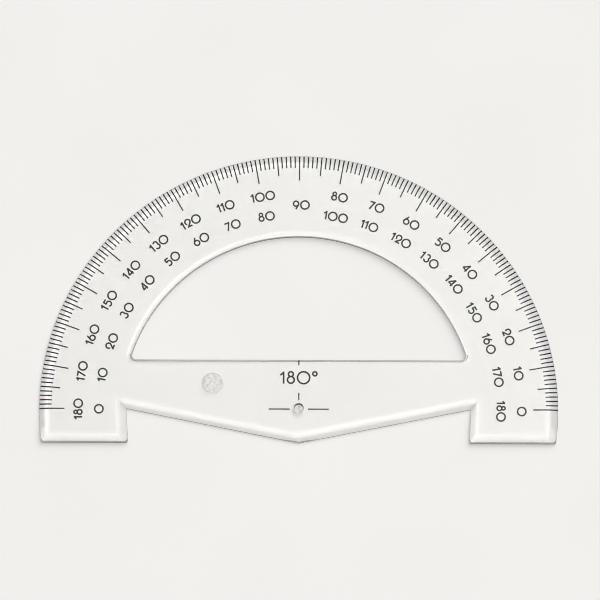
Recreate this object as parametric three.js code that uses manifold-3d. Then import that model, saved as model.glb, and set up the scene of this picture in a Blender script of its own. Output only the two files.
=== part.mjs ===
// A clear 180 degree drawing protractor: one moulded plate that lies flat on the paper, with its
// graduations printed in shallow stamped slots on the underside.
// Millimetres, +Z up. The origin is the centre of the scale, on the underside; +X points to the
// outer scale's 0 and +Y to 90.

import * as THREE from 'three';
import { mergeVertices } from 'three/addons/utils/BufferGeometryUtils.js';
import Module from 'manifold-3d';

const wasm = await Module();
wasm.setup();

// ---- Plate ----
const rimRadius = 60;
const thickness = 1.8;
const bevelWidth = 1.9; // level width of the bevel round the whole outline
const edgeHeight = 0.5; // upright land left below the bevel
const footDrop = 8; // the feet's ends, below the scale's centre
const pointDrop = 8; // the V's point, below the scale's centre
const notchReach = 39.8; // each foot's inner side, where it meets the V
const footLean = 0.35; // how far each foot's inner side comes in at its end

// ---- Window ----
const windowRadius = 40.7;
const windowSill = 11.45; // the window's straight side, above the scale's centre
const windowCorner = 1.1;
const windowBevelWidth = 0.7;
const windowBevelDepth = 0.5;

// ---- Centre dimple and gate mark ----
const dimpleTopRadius = 1.2;
const dimpleFloorRadius = 1.0;
const dimpleFloor = 0.4; // plastic left under the dimple
const gateRadius = 2.35;
const gateDepth = 0.35;
const gateX = -20;
const gateY = 5.8;
const gateStubRadius = 0.6;
const gateStubHeight = 0.2; // the broken sprue, above the gate mark's floor

// ---- Printed marks ----
const lineWidth = 0.28;
const inkThickness = 0.05;
const inkClearance = 0.02; // between the ink and its slot's sides
const inkHeadroom = 0.01; // between the ink and its slot's roof
const markStep = 5; // degrees; the one degree marks between these are too many to be nodes
const markEdgeGap = 0.15; // from the marks' outer ends to the rim
const tenDegreeLength = 5.65;
const fiveDegreeLength = 4.4;
const hairGap = 2.1; // from the scale's centre to the near end of each cross hair
const hairReach = 6.95; // to the far end of the two level hairs
const indexLength = 1.7; // the upright hair above the centre
const indexTopLength = 0.8; // its last stretch, under the window
const indexTopGap = 0.3; // from that stretch to the window's edge

// ---- How finely the round shapes are cut, and how far the cutters overrun ----
const rimSegments = 240;
const windowSegments = 60;
const smallSegments = 40;
const overrun = 3;

const clearPlastic = new THREE.MeshStandardMaterial({
  color: 0xf3f5f2,
  roughness: 0.06,
  metalness: 0,
  transparent: true,
  opacity: 0.3,
});
const blackInk = new THREE.MeshStandardMaterial({ color: 0x16161a, roughness: 0.6, metalness: 0 });

function solidOf(geometry) {
  const bare = geometry.index ? geometry.toNonIndexed() : geometry.clone();
  bare.deleteAttribute('normal');
  bare.deleteAttribute('uv');
  const merged = mergeVertices(bare, 1e-5);
  const vertProperties = new Float32Array(merged.attributes.position.array);
  const triVerts = new Uint32Array(merged.index.array);
  return new wasm.Manifold(new wasm.Mesh({ numProp: 3, vertProperties, triVerts }));
}

function meshOf(name, solid, material) {
  const { vertProperties, triVerts } = solid.getMesh();
  const geometry = new THREE.BufferGeometry();
  geometry.setAttribute('position', new THREE.BufferAttribute(new Float32Array(vertProperties), 3));
  geometry.setIndex(new THREE.BufferAttribute(new Uint32Array(triVerts), 1));
  geometry.computeVertexNormals();
  const mesh = new THREE.Mesh(geometry, material);
  mesh.name = name;
  return mesh;
}

// A turned solid about the Z axis: its profile is a list of [radius, height].
function turned(profile, segments) {
  const points = profile.map(([radius, height]) => new THREE.Vector2(radius, height));
  return new THREE.LatheGeometry(points, segments).rotateX(Math.PI / 2);
}

// What lies beyond one straight edge of the plate: the outside, and the bevel above it.
function beyondEdge(from, to) {
  const rise = thickness - edgeHeight;
  const flare = (bevelWidth * (rise + overrun)) / rise;
  const top = thickness + overrun;
  const far = rimRadius;
  const profile = new THREE.Shape([
    new THREE.Vector2(0, -overrun),
    new THREE.Vector2(far, -overrun),
    new THREE.Vector2(far, top),
    new THREE.Vector2(-flare, top),
    new THREE.Vector2(0, edgeHeight),
  ]);
  const along = new THREE.Vector3(to[0] - from[0], to[1] - from[1], 0).normalize();
  const up = new THREE.Vector3(0, 0, 1);
  const outward = new THREE.Vector3().crossVectors(up, along);
  const depth = 4 * rimRadius;
  const frame = new THREE.Matrix4().makeBasis(outward, up, along).setPosition(from[0], from[1], 0);
  const prism = new THREE.ExtrudeGeometry(profile, { depth, bevelEnabled: false });
  return solidOf(prism.translate(0, 0, -depth / 2).applyMatrix4(frame));
}

// The gap between one foot and the V; side is 1 on the right and -1 on the left.
function notch(side) {
  const point = [0, -pointDrop];
  const shoulder = [side * notchReach, 0];
  const footEnd = [side * (notchReach - footLean), -footDrop];
  const underV = side > 0 ? beyondEdge(shoulder, point) : beyondEdge(point, shoulder);
  const besideFoot = side > 0 ? beyondEdge(footEnd, shoulder) : beyondEdge(shoulder, footEnd);
  return underV.intersect(besideFoot);
}

function windowCutter() {
  const cornerY = windowSill + windowCorner;
  const cornerX = Math.sqrt((windowRadius - windowCorner) ** 2 - cornerY ** 2);
  const cornerAngle = Math.atan2(cornerY, cornerX);
  const shape = new THREE.Shape();
  shape.absarc(0, 0, windowRadius, cornerAngle, Math.PI - cornerAngle, false);
  shape.absarc(-cornerX, cornerY, windowCorner, Math.PI - cornerAngle, 1.5 * Math.PI, false);
  shape.absarc(cornerX, cornerY, windowCorner, -0.5 * Math.PI, cornerAngle, false);
  const straight = { depth: thickness + 2 * overrun, bevelEnabled: false, curveSegments: windowSegments };
  const hole = new THREE.ExtrudeGeometry(shape, straight).translate(0, 0, -overrun);
  const flare = (windowBevelWidth * (windowBevelDepth + overrun)) / windowBevelDepth;
  const flared = {
    depth: overrun,
    bevelThickness: windowBevelDepth + overrun,
    bevelSize: -flare,
    bevelOffset: flare,
    bevelSegments: 1,
    curveSegments: windowSegments,
  };
  const bevel = new THREE.ExtrudeGeometry(shape, flared);
  bevel.translate(0, 0, thickness - windowBevelDepth - overrun);
  const above = new THREE.BoxGeometry(4 * rimRadius, 4 * rimRadius, 4 * overrun);
  above.translate(0, 0, thickness - windowBevelDepth + 2 * overrun);
  return solidOf(hole).add(solidOf(bevel).intersect(solidOf(above)));
}

function dimple() {
  const draft = (dimpleTopRadius - dimpleFloorRadius) / (thickness - dimpleFloor);
  const top = thickness + overrun;
  const topRadius = dimpleTopRadius + draft * overrun;
  return solidOf(turned([[0, dimpleFloor], [dimpleFloorRadius, dimpleFloor], [topRadius, top], [0, top]], smallSegments));
}

function gateMark() {
  const floor = thickness - gateDepth;
  const stubTop = floor + gateStubHeight;
  const top = thickness + overrun;
  const profile = [[0, stubTop], [gateStubRadius, floor], [gateRadius, floor], [gateRadius, top], [0, top]];
  return solidOf(turned(profile, smallSegments).translate(gateX, gateY, 0));
}

// Every printed line: its name, its middle, its direction in degrees and its length.
function printedLines() {
  const lines = [];
  const outer = rimRadius - markEdgeGap;
  for (let degree = 0; degree <= 180; degree += markStep) {
    const length = degree % 10 === 0 ? tenDegreeLength : fiveDegreeLength;
    const angle = THREE.MathUtils.degToRad(degree);
    const middle = outer - length / 2;
    const name = `mark_${String(degree).padStart(3, '0')}_deg`;
    lines.push({ name, x: middle * Math.cos(angle), y: middle * Math.sin(angle), turn: degree, length });
  }
  const level = hairReach - hairGap;
  const levelMiddle = (hairReach + hairGap) / 2;
  lines.push({ name: 'cross_hair_left', x: -levelMiddle, y: 0, turn: 0, length: level });
  lines.push({ name: 'cross_hair_right', x: levelMiddle, y: 0, turn: 0, length: level });
  lines.push({ name: 'cross_hair_upper', x: 0, y: hairGap + indexLength / 2, turn: 90, length: indexLength });
  const topEnd = windowSill - indexTopGap;
  lines.push({ name: 'index_under_window', x: 0, y: topEnd - indexTopLength / 2, turn: 90, length: indexTopLength });
  return lines;
}

function inkStroke(line) {
  const box = new THREE.BoxGeometry(line.length, lineWidth, inkThickness);
  const mesh = new THREE.Mesh(box.translate(0, 0, inkThickness / 2), blackInk);
  mesh.name = line.name;
  mesh.position.set(line.x, line.y, 0);
  mesh.rotation.z = THREE.MathUtils.degToRad(line.turn);
  return mesh;
}

// The slot that one stroke of ink fills, cut up into the underside.
function slot(line) {
  const roof = inkThickness + inkHeadroom;
  const height = roof + overrun;
  const box = new THREE.BoxGeometry(line.length + 2 * inkClearance, lineWidth + 2 * inkClearance, height);
  box.translate(0, 0, roof - height / 2);
  box.rotateZ(THREE.MathUtils.degToRad(line.turn));
  return solidOf(box.translate(line.x, line.y, 0));
}

function blade(lines) {
  const profile = [[0, 0], [rimRadius, 0], [rimRadius, edgeHeight], [rimRadius - bevelWidth, thickness], [0, thickness]];
  let solid = solidOf(turned(profile, rimSegments));
  const cutters = [
    beyondEdge([rimRadius, -footDrop], [-rimRadius, -footDrop]),
    notch(1),
    notch(-1),
    windowCutter(),
    dimple(),
    gateMark(),
    ...lines.map(slot),
  ];
  for (const cutter of cutters) solid = solid.subtract(cutter);
  return meshOf('blade', solid, clearPlastic);
}

const protractor = new THREE.Group();
const lines = printedLines();
protractor.add(blade(lines));
for (const line of lines) protractor.add(inkStroke(line));

export default protractor;
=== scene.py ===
# A clear 180 degree protractor lying on pale paper: a moulded plate, with its scale printed on
# the underside. Lengths in the dictionaries are millimetres, and angles are degrees.
import math
import bmesh
import bpy
from mathutils import Matrix, Vector, geometry, noise


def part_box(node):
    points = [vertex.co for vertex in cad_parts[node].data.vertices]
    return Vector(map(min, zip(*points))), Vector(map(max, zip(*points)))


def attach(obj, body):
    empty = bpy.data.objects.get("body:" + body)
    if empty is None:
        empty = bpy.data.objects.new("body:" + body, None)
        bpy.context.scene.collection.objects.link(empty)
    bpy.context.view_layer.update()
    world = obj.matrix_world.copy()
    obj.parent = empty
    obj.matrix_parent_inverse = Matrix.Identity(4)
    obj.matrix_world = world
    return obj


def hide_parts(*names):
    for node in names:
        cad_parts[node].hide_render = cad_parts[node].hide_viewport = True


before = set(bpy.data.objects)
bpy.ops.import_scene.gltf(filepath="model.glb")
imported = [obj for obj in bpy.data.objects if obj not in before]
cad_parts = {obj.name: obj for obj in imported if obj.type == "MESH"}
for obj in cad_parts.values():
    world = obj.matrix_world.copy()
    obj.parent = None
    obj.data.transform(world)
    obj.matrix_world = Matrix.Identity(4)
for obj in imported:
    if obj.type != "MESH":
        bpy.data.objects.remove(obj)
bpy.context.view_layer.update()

scene = bpy.context.scene
mm = 0.001
body = "root"  # nothing moves, so every piece rides on the one body


def boxOf(node):
    # a CAD node's lowest and highest corners, in millimetres
    return [[round(value / mm, 3) for value in corner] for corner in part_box(node)]


lowest, highest = boxOf("blade")
markInner, markOuter = boxOf("mark_000_deg")  # lies along X, pointing outward
hairInner, hairOuter = boxOf("cross_hair_right")
upperLow, upperHigh = boxOf("cross_hair_upper")
indexLow, indexHigh = boxOf("index_under_window")

# camera
camera = {
    "elevation": 78.3,  # above the paper, from the straight side
    "aim": (0.2, 25.9, 0.0),
    "across": 139.3,  # width of the view at the aim
    "lens": 400.0,  # long, so the outline keeps its true shape
    "sensor": 36.0,
    "roll": 0.2,
}


def placeCamera(c):
    data = bpy.data.cameras.new("camera")
    data.lens = c["lens"]
    data.sensor_width = c["sensor"]
    data.clip_start = 0.05
    data.clip_end = 20.0
    eye = bpy.data.objects.new("camera", data)
    scene.collection.objects.link(eye)
    lift = math.radians(c["elevation"])
    back = Vector((0.0, -math.cos(lift), math.sin(lift)))
    reach = c["across"] * mm * c["lens"] / c["sensor"]
    eye.location = Vector(c["aim"]) * mm + back * reach
    turn = back.to_track_quat("Z", "Y").to_matrix()
    turn = turn @ Matrix.Rotation(math.radians(c["roll"]), 3, "Z")
    eye.rotation_euler = turn.to_euler()
    scene.camera = eye


placeCamera(camera)
print("camera placed")


# node wiring
class Signal:
    # wraps a socket, so that arithmetic on it adds Math nodes
    def __init__(self, wiring, socket):
        self.wiring = wiring
        self.socket = socket

    def maths(self, operation, *values):
        return self.wiring.node("ShaderNodeMath", {"operation": operation}, dict(enumerate(values)))

    def __add__(self, other):
        return self.maths("ADD", self, other)

    def __radd__(self, other):
        return self.maths("ADD", other, self)

    def __sub__(self, other):
        return self.maths("SUBTRACT", self, other)

    def __rsub__(self, other):
        return self.maths("SUBTRACT", other, self)

    def __mul__(self, other):
        return self.maths("MULTIPLY", self, other)

    def __rmul__(self, other):
        return self.maths("MULTIPLY", other, self)

    def __truediv__(self, other):
        return self.maths("DIVIDE", self, other)

    def __rtruediv__(self, other):
        return self.maths("DIVIDE", other, self)


class Wiring:
    def __init__(self, tree):
        self.tree = tree
        tree.nodes.clear()

    def node(self, kind, settings=None, inputs=None, output=0):
        made = self.tree.nodes.new(kind)
        for name, value in (settings or {}).items():
            if name == "stops":
                ramp = made.color_ramp
                while len(ramp.elements) < len(value):
                    ramp.elements.new(0.5)
                for element, (place, colour) in zip(ramp.elements, value):
                    element.position = place
                    element.color = colour
            else:
                setattr(made, name, value)
        for name, value in (inputs or {}).items():
            if isinstance(value, Signal):
                self.tree.links.new(value.socket, made.inputs[name])
            else:
                made.inputs[name].default_value = value
        return Signal(self, made.outputs[output]) if made.outputs else made

    def step(self, value, low, high, start=0.0, end=1.0):
        ends = {"Value": value, "From Min": low, "From Max": high, "To Min": start, "To Max": end}
        return self.node("ShaderNodeMapRange", {"interpolation_type": "SMOOTHSTEP"}, ends)

    def blend(self, amount, low, high):
        settings = {"data_type": "RGBA"}
        return self.node("ShaderNodeMix", settings, {0: amount, 6: low, 7: high}, output=2)


def newMaterial(name):
    made = bpy.data.materials.new(name)
    made.use_nodes = True
    return made, Wiring(made.node_tree)


# clear plastic, with painted light and painted shade in its colour
plasticLook = {
    "topTintAndShade": (0.890, 0.890, 0.876, 1.0),  # colour of the flat top: the plastic's tint, darkened as painted shade so the painted highlight lines stand out
    # painted light: the bevel band is coloured a little lighter than the top
    "bevel": (0.920, 0.920, 0.910, 1.0),
    "line": (1.0, 1.0, 1.0, 1.0),  # untinted: the clear underside, and painted light on the rim under the marks and in the painted highlight lines
    "edge": (0.32, 0.32, 0.32, 1.0),  # painted shade: the dark lines along the edges
    "dull": (0.56, 0.56, 0.55, 1.0),  # colour where the plastic is torn
    # the next six are values of the zone attribute, which is one plus the distance from the edge
    "flat": (2.9, 3.1),  # where the bevel gives way to the top
    # painted highlights: zone ranges of untinted colour along the bevel's top
    "paintedHighlights": [(2.60, 2.76), (3.34, 3.50), (4.15, 4.50)],
    "darkEnd": 1.02,  # where the painted shade line along the outer edge is at its full strength
    # painted shade lines along the window's edge and along its sill
    "windowLine": (5.20, 5.34),
    "sillLine": (4.90, 5.08),
    "fade": 0.08,  # how softly a line begins and ends
    "edgeLine": 0.10,  # width of the painted shade line along the outer edge
    "footLine": 0.22,  # how much wider it is across the feet
    "footBand": (-7.0, -7.5),  # Y over which it widens
    "sillBand": (13.0, 12.5),  # Y over which the window's arc gives way to its straight side
    "litRimBand": (57.6, 58.0),  # distance from the centre at which the painted light on the rim under the marks begins
    "litRimStart": (-1.0, 4.0),  # Y over which that band fades in, above the feet
    "underside": (0.01, 0.04),  # height over which the underside gives way to the sides
    "ringWidth": (0.20, 0.05),  # the darker ring round a torn patch, over its wall, from nothing to its full strength
    "patchCore": 0.93,  # share of a torn patch that is torn all over
    "patchRise": 0.1,  # height over which it fades in
    "refraction": 1.5,
    "polish": 0.02,  # roughness of the moulded faces
    "wear": 0.05,  # roughness where they are scuffed
    "scratch": 0.03,  # how much hairline scratches add
    "torn": 0.32,  # roughness in the dimple and the gate mark
    "scuffScale": 90.0,
    "scratchScale": (30.0, 1600.0, 30.0),
    "scratchTurn": 0.6,
    "grainScale": 2600.0,
    "blotScale": 1300.0,
    "waveScale": 45.0,
    "waveHeight": 0.00002,
    "grainHeight": 0.00003,
}


def clearPlastic(p, marks):
    made, wire = newMaterial("clearPlastic")
    place = wire.node("ShaderNodeTexCoord", output=3)
    x, y, z = (wire.node("ShaderNodeSeparateXYZ", None, {0: place}, output=i) for i in range(3))

    def noiseOf(vector, scale, detail):
        ends = {"Vector": vector, "Scale": scale, "Detail": detail}
        return wire.node("ShaderNodeTexNoise", None, ends)

    def over(value, ends, *strength):  # ends in millimetres
        return wire.step(value, ends[0] * mm, ends[1] * mm, *strength)

    def lineAt(low, high):
        return wire.step(zone, low - p["fade"], low) * wire.step(zone, high + p["fade"], high)

    scuffs = noiseOf(place, p["scuffScale"], 4.0)
    across = wire.node(
        "ShaderNodeMapping", None,
        {"Vector": place, "Rotation": (0.0, 0.0, p["scratchTurn"]), "Scale": p["scratchScale"]},
    )
    hairs = wire.step(noiseOf(across, 1.0, 1.0), 0.68, 0.74)
    rough = wire.step(scuffs, 0.45, 0.75, p["polish"], p["wear"]) + hairs * p["scratch"]

    worn, ring = None, None
    for centre, radius, level in marks:  # round patches with a torn or spark-cut floor
        dx, dy = x - centre[0] * mm, y - centre[1] * mm
        away = dx * dx + dy * dy
        raised = over(z, (level - p["patchRise"], level))
        inside = wire.step(away, (radius * mm) ** 2, (p["patchCore"] * radius * mm) ** 2) * raised
        worn = inside if worn is None else worn + inside
        beside = away.maths("SQRT", away) - radius * mm
        edge = over(beside.maths("ABSOLUTE", beside), p["ringWidth"]) * raised
        ring = edge if ring is None else ring + edge
    grain = noiseOf(place, p["grainScale"], 3.0)
    rough = rough + worn * p["torn"] * grain

    zone = wire.node("ShaderNodeAttribute", {"attribute_name": "zone"}, output=2)
    above = over(z, p["underside"])
    footShadeMask = over(y, p["footBand"])
    sillShadeMask = over(y, p["sillBand"])
    inward = wire.step(zone, *p["flat"])  # 0 on the bevel, 1 on the flat top
    paintedHighlights = None
    for low, high in p["paintedHighlights"]:  # painted highlight lines, standing in for light gathered along the arrises
        line = lineAt(low, high)
        paintedHighlights = line if paintedHighlights is None else paintedHighlights + line
    # painted shade: dark lines along the outer edge, wider across the feet, and along the window and its
    # sill
    dark = wire.step(zone - footShadeMask * p["footLine"], 1 + p["edgeLine"], p["darkEnd"])
    dark = dark + wire.step(zone, *p["windowLine"])
    dark = dark + lineAt(*p["sillLine"]) * sillShadeMask

    blots = noiseOf(place, p["blotScale"], 2.0)
    dullShare = worn * wire.step(blots, 0.40, 0.72, 0.12, 1.0) + ring * wire.step(blots, 0.25, 0.6, 0.5, 1.0)
    waves = noiseOf(place, p["waveScale"], 1.0)
    swell = wire.node(
        "ShaderNodeBump", None,
        {"Strength": 1.0, "Distance": p["waveHeight"], "Height": waves},
    )
    pits = wire.node(
        "ShaderNodeBump", None,
        {"Strength": 1.0, "Distance": p["grainHeight"], "Height": grain * worn, "Normal": swell},
    )
    outward = x * x + y * y
    outward = outward.maths("SQRT", outward)
    # painted light: the rim's bevel under the marks is left untinted, lighter than the rest of the bevel
    paintedLightRim = over(outward, p["litRimBand"]) * over(y, p["litRimStart"])
    # painted light and shade: the top darker, the bevel lighter, the rim under the marks untinted
    face = wire.blend(inward, wire.blend(paintedLightRim, p["bevel"], p["line"]), p["topTintAndShade"])
    # painted highlights take the untinted colour, as does the clear underside
    face = wire.blend(paintedHighlights * above, wire.blend(above, p["line"], face), p["line"])
    surface = wire.node(
        "ShaderNodeBsdfPrincipled", None,
        {
            # painted shade: the dark lines take the dark edge colour
            "Base Color": wire.blend(dark * above, wire.blend(dullShare, face, p["dull"]), p["edge"]),
            "Roughness": rough,
            "IOR": p["refraction"],
            "Transmission Weight": 1.0,
            "Normal": pits,
        },
    )
    wire.node("ShaderNodeOutputMaterial", None, {"Surface": surface})
    return made


# black ink
inkLook = {"dark": (0.002, 0.002, 0.003, 1.0), "thin": (0.012, 0.012, 0.014, 1.0), "grain": 9000.0}


def blackInk(p):
    made, wire = newMaterial("blackInk")
    place = wire.node("ShaderNodeTexCoord", output=3)
    cover = wire.node("ShaderNodeTexNoise", None, {"Vector": place, "Scale": p["grain"], "Detail": 2.0})
    patches = wire.node("ShaderNodeTexNoise", None, {"Vector": place, "Scale": 160.0, "Detail": 2.0})
    amount = wire.step(cover * 0.6 + patches * 0.4, 0.4, 0.65)
    surface = wire.node(
        "ShaderNodeBsdfPrincipled", None,
        {
            "Base Color": wire.blend(amount, p["dark"], p["thin"]),
            "Roughness": wire.step(cover, 0.3, 0.7, 0.45, 0.7),
        },
    )
    wire.node("ShaderNodeOutputMaterial", None, {"Surface": surface})
    return made


# the plate
plate = {
    "rimRadius": highest[0],
    "thickness": highest[2],
    "bevelWidth": 1.9,
    "edgeHeight": 0.5,  # upright land below the bevel
    "footEdgeHeight": 1.1,  # the land stands taller across the ends of the feet
    "footDrop": -lowest[1],
    "pointDrop": -lowest[1],
    "notchReach": 39.8,
    "footLean": 0.35,
    "footCorner": 0.45,
    "pointCorner": 0.12,
    "shoulderCorner": 0.15,
    "arris": 0.05,  # rounding of the lower arris
    "landArris": 0.1,  # between the land and the bevel
    "topArris": 0.16,  # between the bevel and the top
    "margin": 0.9,  # how far the top's border reaches in from the bevel
    "riseStart": 0.5,  # share of the feet's length at which the land begins to rise
    "riseLength": 0.25,  # and the share over which it does
    "riseReach": 3.0,  # how far inside the notch it still applies
    "rimSteps": 720,
    "cornerSteps": 6,
}
window = {
    "radius": 40.7,
    "sill": 11.45,
    "corner": 1.1,
    "bevelWidth": 0.7,
    "bevelDepth": 0.5,
    "arris": 0.05,
    "bevelArris": 0.08,
    "margin": 0.9,
    "arcSteps": 360,
    "cornerSteps": 12,
}
dimple = {
    "centre": (0.0, 0.0),
    "radius": 1.2,
    "floorRadius": 1.0,
    "floor": 0.4,
    "arris": 0.05,
    "relief": 0.03,
    "steps": 72,
}
gate = {
    "centre": (-20.0, 5.8),
    "radius": 2.35,
    "depth": 0.35,
    "arris": 0.06,
    "stubRadius": 0.6,
    "stubHeight": 0.2,
    "stubSlope": 0.05,  # how far the stub draws in on its way up
    "stubUneven": (0.1, 0.16),  # how ragged its foot and its top are
    "wallSlope": 0.06,
    "relief": 0.04,
    "steps": 96,
}


def leftOf(along):
    return Vector((-along.y, along.x))


def cross2(a, b):
    return a.x * b.y - a.y * b.x


class Side:
    # one straight side, or the rim's arc when it has a radius; the plate lies on its left
    def __init__(self, start=None, end=None, radius=None):
        self.radius = radius
        if radius is None:
            self.start = Vector(start)
            self.along = (Vector(end) - self.start).normalized()

    def inset(self, distance):
        moved = Side(radius=self.radius and self.radius - distance, start=(0, 0), end=(1, 0))
        if self.radius is None:
            moved.start = self.start + leftOf(self.along) * distance
            moved.along = self.along
        return moved

    def meeting(self, other, near):
        # where two sides cross, on the branch nearest to a point
        if self.radius is None and other.radius is None:
            t = cross2(other.start - self.start, other.along) / cross2(self.along, other.along)
            return self.start + self.along * t
        line, arc = (self, other) if self.radius is None else (other, self)
        middle = -line.start.dot(line.along)
        foot = line.start + line.along * middle
        reach = math.sqrt(arc.radius ** 2 - foot.length_squared)
        ends = (foot + line.along * reach, foot - line.along * reach)
        return min(ends, key=lambda point: (point - near).length)

    def inward(self, point):
        return leftOf(self.along) if self.radius is None else -point.normalized()


def rounded(before, after, radius, near, steps):
    # points round the corner between two sides
    corner = before.meeting(after, near)
    a, b = before.inward(corner), after.inward(corner)
    convex = cross2(a, b) > 0
    shift = radius if convex else -radius
    centre = before.inset(shift).meeting(after.inset(shift), near)
    a, b = before.inward(centre) * -shift, after.inward(centre) * -shift
    sweep = a.angle_signed(b)
    turn = [a.copy() for _ in range(steps + 1)]
    for i, arm in enumerate(turn):
        arm.rotate(Matrix.Rotation(-sweep * i / steps, 2))
    return [centre + arm for arm in turn]


def outlineLoop(p, distance):
    # the plate's outline, drawn in by a distance
    drop, reach, lean = p["footDrop"], p["notchReach"], p["footLean"]
    left, right = (-reach, 0.0), (reach, 0.0)
    leftEnd, rightEnd, point = (lean - reach, -drop), (reach - lean, -drop), (0.0, -p["pointDrop"])
    footX = math.sqrt(p["rimRadius"] ** 2 - drop ** 2)
    corners = [(-footX, -drop), leftEnd, left, point, right, rightEnd, (footX, -drop)]
    sides = [Side(radius=p["rimRadius"])]
    sides += [Side(start=a, end=b) for a, b in zip(corners, corners[1:])]
    sides = [side.inset(distance) for side in sides]
    foot = max(p["footCorner"] - distance, 0.05)
    radii = [foot, foot, p["shoulderCorner"], p["pointCorner"], p["shoulderCorner"], foot, foot]
    loop = []
    for i, corner in enumerate(corners):
        after = sides[(i + 1) % len(sides)]
        loop += rounded(sides[i], after, radii[i], Vector(corner), p["cornerSteps"])
    first = math.atan2(loop[-1].y, loop[-1].x)  # the rim's arc joins the last corner to the first
    last = math.atan2(loop[0].y, loop[0].x) % (2 * math.pi)
    radius = p["rimRadius"] - distance
    for i in range(1, p["rimSteps"]):
        angle = first + (last - first) * i / p["rimSteps"]
        loop.append(Vector((radius * math.cos(angle), radius * math.sin(angle))))
    return loop


def windowLoop(p, distance):
    # the window's outline, let out by a distance
    radius, sill, corner = p["radius"] + distance, p["sill"] - distance, p["corner"] + distance
    y = sill + corner
    x = math.sqrt((radius - corner) ** 2 - y * y)
    lift = math.atan2(y, x)
    loop = []
    for i in range(p["arcSteps"]):
        angle = lift + (math.pi - 2 * lift) * i / p["arcSteps"]
        loop.append(Vector((radius * math.cos(angle), radius * math.sin(angle))))
    down = 1.5 * math.pi
    for side, start, end in ((-1, math.pi - lift, down), (1, down, 2 * math.pi + lift)):
        last = p["cornerSteps"] + (side < 0)
        for i in range(last):
            angle = start + (end - start) * i / p["cornerSteps"]
            loop.append(Vector((side * x + corner * math.cos(angle), y + corner * math.sin(angle))))
    return loop


def profile(points, roundings, steps=4, flat=0.02):
    # a wall's section from (inset, height) corners, each rounded, with a short flat beside each
    section = []
    for i in range(1, len(points) - 1):
        before, here, after = (Vector(points[i + k]) for k in (-1, 0, 1))
        a, b = (here - before).normalized(), (after - here).normalized()
        half = a.angle(b) / 2
        cut = roundings[i - 1] * math.tan(half)
        for t in [k / steps for k in range(steps + 1)]:
            start, end = here - a * cut, here + b * cut
            point = (1 - t) ** 2 * start + 2 * t * (1 - t) * here + t * t * end
            if t == 0 and i > 1:
                section.append(start - a * flat)
            section.append(point)
            if t == 1 and i < len(points) - 2:
                section.append(end + b * flat)
    return section


def addLoop(mesh, loop, height):
    return [mesh.verts.new((p.x * mm, p.y * mm, height * mm)) for p in loop]


def bridge(mesh, lower, upper, smooth=True):
    for i in range(len(lower)):
        j = (i + 1) % len(lower)
        mesh.faces.new((lower[i], lower[j], upper[j], upper[i])).smooth = smooth


def addWall(mesh, loopAt, section, zoneAt=None):
    # sweeps a section round a loop, and gives back its first and last loops
    loops = [addLoop(mesh, loopAt(inset), height) for inset, height in section]
    if zoneAt:
        for loop, (inset, height) in zip(loops, section):
            for vert in loop:
                vert[mesh.verts.layers.float["zone"]] = zoneAt(inset)
    for lower, upper in zip(loops, loops[1:]):
        bridge(mesh, lower, upper)
    return loops[0], loops[-1]


def circleLoop(centre, radius, steps, uneven=0.0):
    loop = []
    for i in range(steps):
        angle = 2 * math.pi * i / steps
        arm = Vector((math.cos(angle), math.sin(angle)))
        reach = radius + uneven * noise.noise((arm.x * 2.1, arm.y * 2.1, radius))
        loop.append(Vector(centre) + arm * reach)
    return loop


def addFloor(mesh, ring, centre, radius, height, relief, rings=6):
    # closes a ring with a floor of shallow mottled relief
    for k in range(rings - 1, 0, -1):
        loop = circleLoop(centre, radius * k / rings, len(ring))
        inner = []
        for p in loop:
            lift = relief * noise.noise((p.x * 2.6, p.y * 2.6, 3.0))
            inner.append(mesh.verts.new((p.x * mm, p.y * mm, (height + lift) * mm)))
        bridge(mesh, ring, inner)
        ring = inner
    hub = mesh.verts.new((centre[0] * mm, centre[1] * mm, height * mm))
    for i in range(len(ring)):
        mesh.faces.new((ring[i], ring[(i + 1) % len(ring)], hub)).smooth = True


def fillFlat(mesh, *loops):
    edges = [mesh.edges.get((loop[i - 1], loop[i])) for loop in loops for i in range(len(loop))]
    made = bmesh.ops.triangle_fill(mesh, edges=edges, use_beauty=True, use_dissolve=False)
    for part in made["geom"]:
        if isinstance(part, bmesh.types.BMFace):
            part.smooth = False


def raiseFeet(mesh, p):
    # lifts the lower end of the bevel across the two feet, where the land stands taller
    low, top = p["edgeHeight"] * mm, p["thickness"] * mm
    extra = (p["footEdgeHeight"] - p["edgeHeight"]) * mm
    for vert in mesh.verts:
        depth = -vert.co.y / mm - p["footDrop"] * p["riseStart"]
        if depth > 0 and abs(vert.co.x) > (p["notchReach"] - p["riseReach"]) * mm:
            share = min(vert.co.z / low, (top - vert.co.z) / (top - low))
            vert.co.z += extra * share * min(depth / (p["footDrop"] * p["riseLength"]), 1.0)


def edgeCorners(land, bevelWidth, top):
    # the section of an upright land with a bevel above it, and a stretch of the faces beyond
    return [(0.5, 0.0), (0.0, 0.0), (0.0, land), (bevelWidth, top), (bevelWidth + 1, top)]


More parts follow.
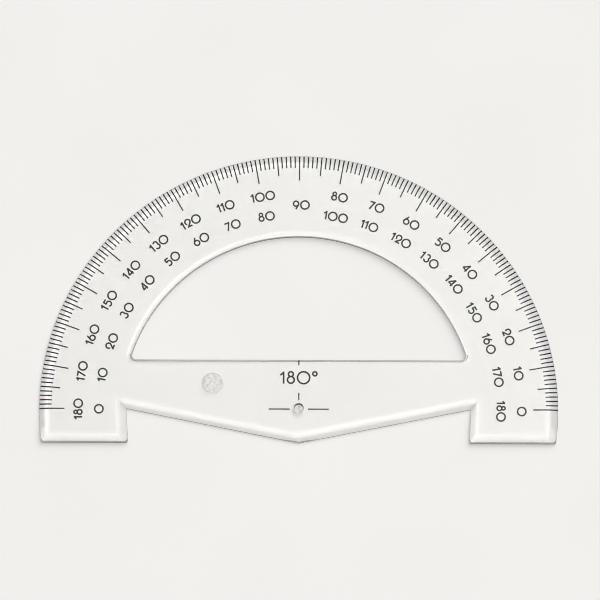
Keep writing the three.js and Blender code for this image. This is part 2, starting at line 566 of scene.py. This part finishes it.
def makePlate(p, w, d, g):
    mesh = bmesh.new()
    zone = mesh.verts.layers.float.new("zone")
    top, margin = p["thickness"], p["bevelWidth"] + p["margin"]
    corners = edgeCorners(p["edgeHeight"], p["bevelWidth"], top)
    section = profile(corners, [p["arris"], p["landArris"], p["topArris"]]) + [Vector((margin, top))]
    rimFoot, rimTop = addWall(
        mesh, lambda inset: outlineLoop(p, inset), section, lambda inset: 1 + inset
    )
    raiseFeet(mesh, p)
    corners = edgeCorners(top - w["bevelDepth"], w["bevelWidth"], top)
    spare = w["bevelWidth"] + w["margin"]
    section = profile(corners, [w["arris"], w["bevelArris"], w["bevelArris"]]) + [Vector((spare, top))]
    windowFoot, windowTop = addWall(
        mesh, lambda inset: windowLoop(w, inset), section, lambda inset: 1 + margin + spare - inset
    )

    floor = d["floor"]  # the centre dimple
    corners = [(2.0, top), (d["radius"], top), (d["floorRadius"], floor), (0.0, floor)]
    section = profile(corners, [d["arris"], d["arris"]])
    dimpleTop, dimpleFloor = addWall(
        mesh, lambda radius: circleLoop(d["centre"], radius, d["steps"]), section
    )
    addFloor(mesh, dimpleFloor, d["centre"], section[-1][0], floor, d["relief"])

    bed = top - g["depth"]  # the gate mark, with what is left of the sprue
    wall = g["radius"] - g["wallSlope"]
    corners = [(4.0, top), (g["radius"], top), (wall, bed), (g["stubRadius"] + 0.1, bed)]
    section = profile(corners, [g["arris"], g["arris"]])
    gateTop, gateBed = addWall(mesh, lambda radius: circleLoop(g["centre"], radius, g["steps"]), section)
    reach, stub, slope = section[-1][0], g["stubRadius"], g["stubSlope"]
    foot, crown = g["stubUneven"]
    rings = [(reach + (stub + 0.12 - reach) * k / 5, bed, 0.0) for k in range(1, 6)]
    rings += [(stub + 0.03, bed + 0.04, foot), (stub - slope, bed + g["stubHeight"], crown)]
    ring = gateBed
    for radius, height, uneven in rings:
        loop = circleLoop(g["centre"], radius, g["steps"], uneven)
        inner = []
        for q in loop:
            lift = g["relief"] * noise.noise((q.x * 1.7, q.y * 1.7, 8.0))
            inner.append(mesh.verts.new((q.x * mm, q.y * mm, (height + lift) * mm)))
        bridge(mesh, ring, inner)
        ring = inner
    height = bed + g["stubHeight"] * 0.8  # the stub's torn top sags in the middle
    addFloor(mesh, ring, g["centre"], stub - slope, height, g["relief"] * 2.5, 5)

    for vert in mesh.verts:
        vert[zone] = vert[zone] or 1 + margin
    fillFlat(mesh, rimFoot, windowFoot)
    fillFlat(mesh, rimTop, windowTop, dimpleTop, gateTop)
    bmesh.ops.remove_doubles(mesh, verts=mesh.verts, dist=1e-8)
    bmesh.ops.recalc_face_normals(mesh, faces=mesh.faces)
    return mesh


def addPiece(name, mesh, material, nodes):
    # turns a mesh into a finished piece of the object
    data = bpy.data.meshes.new(name)
    mesh.to_mesh(data)
    mesh.free()
    data.materials.clear()
    data.materials.append(material)
    piece = bpy.data.objects.new(name, data)
    scene.collection.objects.link(piece)
    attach(piece, body)
    if nodes:
        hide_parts(*nodes)
    print(name, len(data.polygons), "faces")
    return piece


patches = [
    (dimple["centre"], dimple["floorRadius"] + 0.05, dimple["floor"] - 0.05),
    (gate["centre"], gate["radius"], plate["thickness"] - gate["depth"] - 0.05),
]
plastic = clearPlastic(plasticLook, patches)
ink = blackInk(inkLook)
addPiece("clearPlate", makePlate(plate, window, dimple, gate), plastic, ["blade"])


# scale marks
marks = {
    "outerEnd": markOuter[0],
    "width": round(markOuter[1] - markInner[1], 3),
    "level": 0.01,  # how far above the underside the ink begins
    "film": 0.03,  # how thick it is
    "ragged": 0.012,
    "seed": 7,
}
# piece, number of marks, degrees between them, first one, length, every how many is left out
markRows = [
    ("tenDegreeMarks", 19, 10.0, 0.0, round(markOuter[0] - markInner[0], 3), 0),
    ("fiveDegreeMarks", 18, 10.0, 5.0, 4.4, 0),
    ("oneDegreeMarks", 181, 1.0, 0.0, 2.65, 5),
]


def markTree():
    # lays bars in a ring, each pointing outward from the centre
    tree = bpy.data.node_groups.new("scaleMarks", "GeometryNodeTree")
    wire = Wiring(tree)
    sizes = [
        ("Count", "NodeSocketInt"), ("Step", "NodeSocketFloat"), ("First", "NodeSocketFloat"),
        ("Length", "NodeSocketFloat"), ("Leave Out", "NodeSocketInt"), ("Outer End", "NodeSocketFloat"),
        ("Width", "NodeSocketFloat"), ("Level", "NodeSocketFloat"), ("Film", "NodeSocketFloat"),
        ("Ragged", "NodeSocketFloat"), ("Seed", "NodeSocketInt"), ("Ink", "NodeSocketMaterial"),
    ]
    for name, kind in sizes:
        tree.interface.new_socket(name, in_out="INPUT", socket_type=kind)
    tree.interface.new_socket("Geometry", in_out="OUTPUT", socket_type="NodeSocketGeometry")
    given = {name: wire.node("NodeGroupInput", output=i) for i, (name, _) in enumerate(sizes)}
    spots = wire.node("GeometryNodeMeshLine", None, {"Count": given["Count"], "Offset": (0.0, 0.0, 0.0)})
    size = {0: given["Length"], 1: given["Width"], 2: given["Film"]}
    size = wire.node("ShaderNodeCombineXYZ", None, size)
    bar = {"Size": size, "Vertices X": 7, "Vertices Y": 2, "Vertices Z": 2}
    bar = wire.node("GeometryNodeMeshCube", None, bar)
    out = wire.node(
        "ShaderNodeCombineXYZ", None,
        {0: given["Outer End"] - given["Length"] / 2, 1: 0.0, 2: given["Level"] + given["Film"] / 2},
    )
    bar = wire.node("GeometryNodeTransform", None, {"Geometry": bar, "Translation": out})
    number = wire.node("GeometryNodeInputIndex")
    turn = wire.node("ShaderNodeCombineXYZ", None, {2: given["First"] + number * given["Step"]})
    kept = number.maths("FLOORED_MODULO", number, given["Leave Out"])
    kept = kept.maths("GREATER_THAN", kept, 0.5) + kept.maths("LESS_THAN", given["Leave Out"], 0.5)
    rings = wire.node(
        "GeometryNodeInstanceOnPoints", None,
        {"Points": spots, "Selection": kept, "Instance": bar, "Rotation": turn},
    )
    bars = wire.node("GeometryNodeRealizeInstances", None, {"Geometry": rings})
    high = wire.node("ShaderNodeCombineXYZ", None, {0: given["Ragged"], 1: given["Ragged"], 2: 0.0})
    low = wire.node("ShaderNodeVectorMath", {"operation": "SCALE"}, {"Vector": high, "Scale": -1.0})
    drift = wire.node(
        "FunctionNodeRandomValue", {"data_type": "FLOAT_VECTOR"},
        {"Min": low, "Max": high, "Seed": given["Seed"]},
    )
    bars = wire.node("GeometryNodeSetPosition", None, {"Geometry": bars, "Offset": drift})
    bars = wire.node("GeometryNodeSetMaterial", None, {"Geometry": bars, "Material": given["Ink"]})
    wire.node("NodeGroupOutput", None, {"Geometry": bars})
    return tree


def makeMarks(tree, values):
    # runs the tree with these values, and gives back its plain mesh
    carrier = bpy.data.objects.new("marks", bpy.data.meshes.new("marks"))
    scene.collection.objects.link(carrier)
    layer = carrier.modifiers.new("marks", "NODES")
    layer.node_group = tree
    for item in tree.interface.items_tree:
        if item.in_out == "INPUT":
            layer[item.identifier] = values[item.name]
    bpy.context.view_layer.update()
    ready = carrier.evaluated_get(bpy.context.evaluated_depsgraph_get())
    data = bpy.data.meshes.new_from_object(ready)
    carrier.modifiers.remove(layer)
    bpy.data.objects.remove(carrier)
    mesh = bmesh.new()
    mesh.from_mesh(data)
    bpy.data.meshes.remove(data)
    bmesh.ops.recalc_face_normals(mesh, faces=mesh.faces)
    return mesh


def nodesEvery(step, first):
    return [f"mark_{angle:03d}_deg" for angle in range(first, 181, step)]


tree = markTree()
stands = {"tenDegreeMarks": nodesEvery(10, 0), "fiveDegreeMarks": nodesEvery(10, 5)}
for name, count, step, first, length, leaveOut in markRows:
    values = {
        "Count": count, "Step": math.radians(step), "First": math.radians(first), "Length": length * mm,
        "Leave Out": leaveOut, "Outer End": marks["outerEnd"] * mm, "Width": marks["width"] * mm,
        "Level": marks["level"] * mm, "Film": marks["film"] * mm, "Ragged": marks["ragged"] * mm,
        "Seed": marks["seed"], "Ink": ink,
    }
    addPiece(name, makeMarks(tree, values), ink, stands.get(name, []))


# printed strokes
def arc(x, y, radius, start, end):
    # points along an arc, counterclockwise when the end angle is the larger
    steps = max(4, int(abs(end - start) / 9))
    angles = [math.radians(start + (end - start) * i / steps) for i in range(steps + 1)]
    return [(x + radius * math.cos(a), y + radius * math.sin(a)) for a in angles]


def sixStrokes(x, y, radius, tip):
    # a round bowl, and a straight stem that leaves it at a tangent
    reach = math.dist((x, y), tip)
    lean = math.atan2(tip[1] - y, tip[0] - x) + math.acos(radius / reach)
    touch = (x + radius * math.cos(lean), y + radius * math.sin(lean))
    return [arc(x, y, radius, 0, 360), [tip, touch]]


def turnedRound(strokes, x, y):
    return [[(2 * x - a, 2 * y - b) for a, b in stroke] for stroke in strokes]


stroke = 0.355  # width of the pen
six = sixStrokes(0.74, 0.68, 0.6, (0.79, 2.0))
numerals = {  # figure: width, room before, room after, strokes
    "0": (2.23, 0.10, 0.10, [arc(1.115, 0.98, 0.97, 0, 360)]),
    "1": (0.75, 0.00, 0.20, [[(0.60, 0.0), (0.60, 1.97)], [(0.62, 1.86), (0.09, 1.38)]]),
    "2": (
        1.50, 0.14, 0.10,
        [arc(0.75, 1.33, 0.605, 235, -45.7) + [(0.36, 0.1)], [(0.25, 0.145), (1.42, 0.145)]],
    ),
    "3": (1.34, 0.18, 0.12, [arc(0.60, 1.44, 0.475, 155, -52), arc(0.66, 0.62, 0.535, 62, -165)]),
    "4": (
        1.36, 0.12, 0.22,
        [[(1.06, 0.0), (1.06, 1.97)], [(1.05, 1.88), (0.10, 0.47)], [(0.05, 0.47), (1.34, 0.47)]],
    ),
    "5": (
        1.38, 0.22, 0.12,
        [[(1.14, 1.82), (0.30, 1.82), (0.22, 1.03)], arc(0.66, 0.62, 0.58, 137, -142)],
    ),
    "6": (1.49, 0.12, 0.10, six),
    "7": (1.17, 0.16, 0.14, [[(0.0, 1.82), (1.06, 1.82), (0.33, 0.0)]]),
    "8": (1.37, 0.12, 0.14, [arc(0.69, 0.625, 0.54, 0, 360), arc(0.69, 1.555, 0.39, 0, 360)]),
    "9": (1.49, 0.12, 0.10, turnedRound(six, 0.74, 0.98)),
    "°": (0.90, 0.16, 0.00, [arc(0.42, 1.62, 0.33, 0, 360)]),
}


def ribbon(points, width):
    # the two edges of one pen stroke, mitred at its corners
    closed = math.dist(points[0], points[-1]) < 1e-6
    path = [Vector(p) for p in (points[:-1] if closed else points)]
    edges = []
    for i, here in enumerate(path):
        before = path[i - 1] if i or closed else None
        after = path[(i + 1) % len(path)] if i + 1 < len(path) or closed else None
        arms = [(here - before).normalized()] if before else []
        arms += [(after - here).normalized()] if after else []
        along = sum(arms, Vector((0.0, 0.0))).normalized()
        spread = width / 2 / max(along.dot(arms[0]), 0.35)
        edges.append((here + leftOf(along) * spread, here - leftOf(along) * spread))
    return edges, closed


def holds(outline, point):
    # whether a four sided outline has a point inside it
    turns = [cross2(b - a, point - a) for a, b in zip(outline, outline[1:] + outline[:1])]
    return min(turns) >= 0 or max(turns) <= 0


def drawFigure(figure, scale, width):
    # one figure's filled outline, as points and triangles
    points, patches = [], []
    for path in numerals[figure][3]:
        edges, closed = ribbon([(x * scale, y * scale) for x, y in path], width)
        first = len(points)
        for a, b in edges:
            points += [a, b]
        for i in range(len(edges) if closed else len(edges) - 1):
            j = (i + 1) % len(edges)
            patches.append([first + 2 * i, first + 2 * j, first + 2 * j + 1, first + 2 * i + 1])
    made = geometry.delaunay_2d_cdt(points, [], patches, 1, 1e-6)
    outlines = [[points[k] for k in patch] for patch in patches]
    inked = []
    for face in made[2]:
        middle = sum((made[0][k] for k in face), Vector((0.0, 0.0))) / 3
        if any(holds(outline, middle) for outline in outlines):
            inked.append(face)
    return made[0], inked


def pressInk(mesh, points, triangles, level, film):
    # gives flat triangles the thickness of a film of ink
    lower = [mesh.verts.new((x * mm, y * mm, level * mm)) for x, y in points]
    upper = [mesh.verts.new((x * mm, y * mm, (level + film) * mm)) for x, y in points]
    directed = set()
    for a, b, c in triangles:
        mesh.faces.new((upper[a], upper[b], upper[c]))
        mesh.faces.new((lower[c], lower[b], lower[a]))
        directed |= {(a, b), (b, c), (c, a)}
    for a, b in directed:
        if (b, a) not in directed:
            mesh.faces.new((lower[a], lower[b], upper[b], upper[a]))


def roughened(point, ragged):
    x, y = point
    dx, dy = (noise.noise((x * 6.0, y * 6.0, layer)) for layer in (1.0, 5.0))
    return (x + ragged * dx, y + ragged * dy)


def printWords(mesh, words, place, heading, scale, width, shift=0.0):
    # sets a line of figures, centred on a place and turned to a heading
    length = sum(sum(numerals[f][:3]) for f in words) * scale
    across = Vector((math.cos(heading), math.sin(heading)))
    pen = shift - length / 2
    for figure in words:
        wide, before, after, _ = numerals[figure]
        points, triangles = drawFigure(figure, scale, width)
        corner = Vector(place) + across * (pen + before * scale) - leftOf(across) * 0.98 * scale
        up = leftOf(across)
        spots = [roughened(corner + across * p.x + up * p.y, marks["ragged"]) for p in points]
        pressInk(mesh, spots, triangles, marks["level"], marks["film"])
        pen += (before + wide + after) * scale


rows = {
    "outerRadius": 51.3,
    "innerRadius": 46.5,
    "middleRadius": 48.6,  # the 90 that both rows share
    "shift": 0.15,  # every label sits a little clockwise of its mark
    "slip": (0.27, -0.24),  # the whole print of numbers lies a little off centre
}


def makeRow(labels, radius, shift):
    mesh = bmesh.new()
    for words, angle in labels:
        turn = math.radians(angle)
        place = (radius * math.cos(turn) + rows["slip"][0], radius * math.sin(turn) + rows["slip"][1])
        printWords(mesh, words, place, turn - math.pi / 2, 1.0, stroke, shift)
    bmesh.ops.remove_doubles(mesh, verts=mesh.verts, dist=1e-9)
    bmesh.ops.recalc_face_normals(mesh, faces=mesh.faces)
    return mesh


tens = [angle for angle in range(0, 181, 10) if angle != 90]
numeralRows = [
    ("outerNumerals", [(str(angle), angle) for angle in tens], rows["outerRadius"]),
    ("innerNumerals", [(str(180 - angle), angle) for angle in tens], rows["innerRadius"]),
    ("middleNumeral", [("90", 90)], rows["middleRadius"]),
]
for name, labels, radius in numeralRows:
    addPiece(name, makeRow(labels, radius, rows["shift"]), ink, [])


# cross hair and centre mark
hair = {
    "width": round(hairOuter[1] - hairInner[1], 3),
    "gap": hairInner[0],
    "reach": hairOuter[0],
    "upper": (upperLow[1], upperHigh[1]),
    "index": (indexLow[1], indexHigh[1]),  # the last stretch, under the window
    "steps": 12,
}
centreMark = {"words": "180°", "place": (0.0, 7.4), "scale": 1.45, "stroke": 0.38}


def makeHairs(p):
    mesh = bmesh.new()
    spans = [((-p["reach"], 0), (-p["gap"], 0)), ((p["gap"], 0), (p["reach"], 0))]
    spans += [((0, low), (0, high)) for low, high in (p["upper"], p["index"])]
    for start, end in spans:
        start, end = Vector(start), Vector(end)
        path = [start.lerp(end, i / p["steps"]) for i in range(p["steps"] + 1)]
        edges, _ = ribbon([tuple(point) for point in path], p["width"])
        points = [roughened(point, marks["ragged"]) for edge in edges for point in edge]
        quads = [(2 * i, 2 * i + 1, 2 * i + 3, 2 * i + 2) for i in range(p["steps"])]
        triangles = [part for a, b, c, d in quads for part in ((a, b, c), (a, c, d))]
        pressInk(mesh, points, triangles, marks["level"], marks["film"])
    bmesh.ops.recalc_face_normals(mesh, faces=mesh.faces)
    return mesh


hairNodes = ["cross_hair_left", "cross_hair_right", "cross_hair_upper", "index_under_window"]
addPiece("crossHair", makeHairs(hair), ink, hairNodes)
sign = bmesh.new()
printWords(
    sign, centreMark["words"], centreMark["place"], 0.0, centreMark["scale"], centreMark["stroke"]
)
bmesh.ops.recalc_face_normals(sign, faces=sign.faces)
addPiece("centreMark", sign, ink, [])


# paper and light
paper = {
    "half": 6000.0,
    "level": -0.03,
    "colour": (0.83, 0.822, 0.806, 1.0),
    "shade": (0.80, 0.792, 0.777, 1.0),
    "glow": 0.345,  # light the paper gives off itself, which softens every shadow
}


def layPaper(p):
    made, wire = newMaterial("palePaper")
    place = wire.node("ShaderNodeTexCoord", output=3)
    fibre = wire.node("ShaderNodeTexNoise", None, {"Vector": place, "Scale": 1400.0, "Detail": 3.0})
    cloud = wire.node("ShaderNodeTexNoise", None, {"Vector": place, "Scale": 25.0, "Detail": 1.0})
    amount = wire.step(fibre * 0.5 + cloud * 0.5, 0.35, 0.65)
    surface = wire.node(
        "ShaderNodeBsdfPrincipled", None,
        {
            "Base Color": wire.blend(amount, p["shade"], p["colour"]),
            "Roughness": 0.9,
            "Specular IOR Level": 0.2,
            "Emission Color": p["colour"],
            "Emission Strength": p["glow"],
        },
    )
    wire.node("ShaderNodeOutputMaterial", None, {"Surface": surface})
    mesh = bmesh.new()
    bmesh.ops.create_grid(mesh, x_segments=1, y_segments=1, size=p["half"] * mm)
    bmesh.ops.translate(mesh, verts=mesh.verts, vec=(0.0, 0.0, p["level"] * mm))
    data = bpy.data.meshes.new("paper")
    mesh.to_mesh(data)
    mesh.free()
    data.materials.append(made)
    sheet = bpy.data.objects.new("paper", data)
    scene.collection.objects.link(sheet)


studio = {
    "tone": (1.0, 0.995, 0.985, 1.0),
    "dim": (0.9, 0.9, 0.89, 1.0),
    "strength": 0.2,
    "horizon": 0.05,  # height, as a sine, where the room's dark band begins to lift
    "ceiling": 0.45,  # and where it has become the bright ceiling
    "keyTurn": -45.0,  # the lamp's direction round the paper, from the 0 side
    "keyLift": 78.7,  # its height
    "keySize": 9.0,  # half of its angle
    "keyStrength": 6.0,
    "boxTurn": 45.0,  # the same for a broad soft box beyond the plate
    "boxLift": 52.0,
    "boxSize": 30.0,
    "boxStrength": 1.85,
}


def lightStudio(p):
    # a bright ceiling over a darker room, with a soft lamp near the camera and a soft box beyond
    world = bpy.data.worlds.new("studio")
    world.use_nodes = True
    scene.world = world
    wire = Wiring(world.node_tree)
    way = wire.node("ShaderNodeTexCoord", output=0)
    x, y, z = (wire.node("ShaderNodeSeparateXYZ", None, {0: way}, output=i) for i in range(3))
    lift = wire.step(z, p["horizon"], p["ceiling"])
    glow = p["strength"]
    for lamp in ("key", "box"):
        turn, rise = math.radians(p[lamp + "Turn"]), math.radians(p[lamp + "Lift"])
        flat = math.cos(rise)
        facing = x * (math.cos(turn) * flat) + y * (math.sin(turn) * flat) + z * math.sin(rise)
        half = math.radians(p[lamp + "Size"])
        disc = wire.step(facing, math.cos(half * 1.25), math.cos(half * 0.75))
        glow = disc * p[lamp + "Strength"] + glow
    colour = wire.blend(lift, p["dim"], p["tone"])
    back = wire.node("ShaderNodeBackground", None, {"Color": colour, "Strength": glow})
    wire.node("ShaderNodeOutputWorld", None, {"Surface": back})
    scene.view_settings.view_transform = "Standard"
    scene.cycles.blur_glossy = 0.0  # the paper under the plate is lit through it
    scene.cycles.filter_width = 1.0
    scene.cycles.sample_clamp_indirect = 0.0


layPaper(paper)
lightStudio(studio)
print("paper and light set")
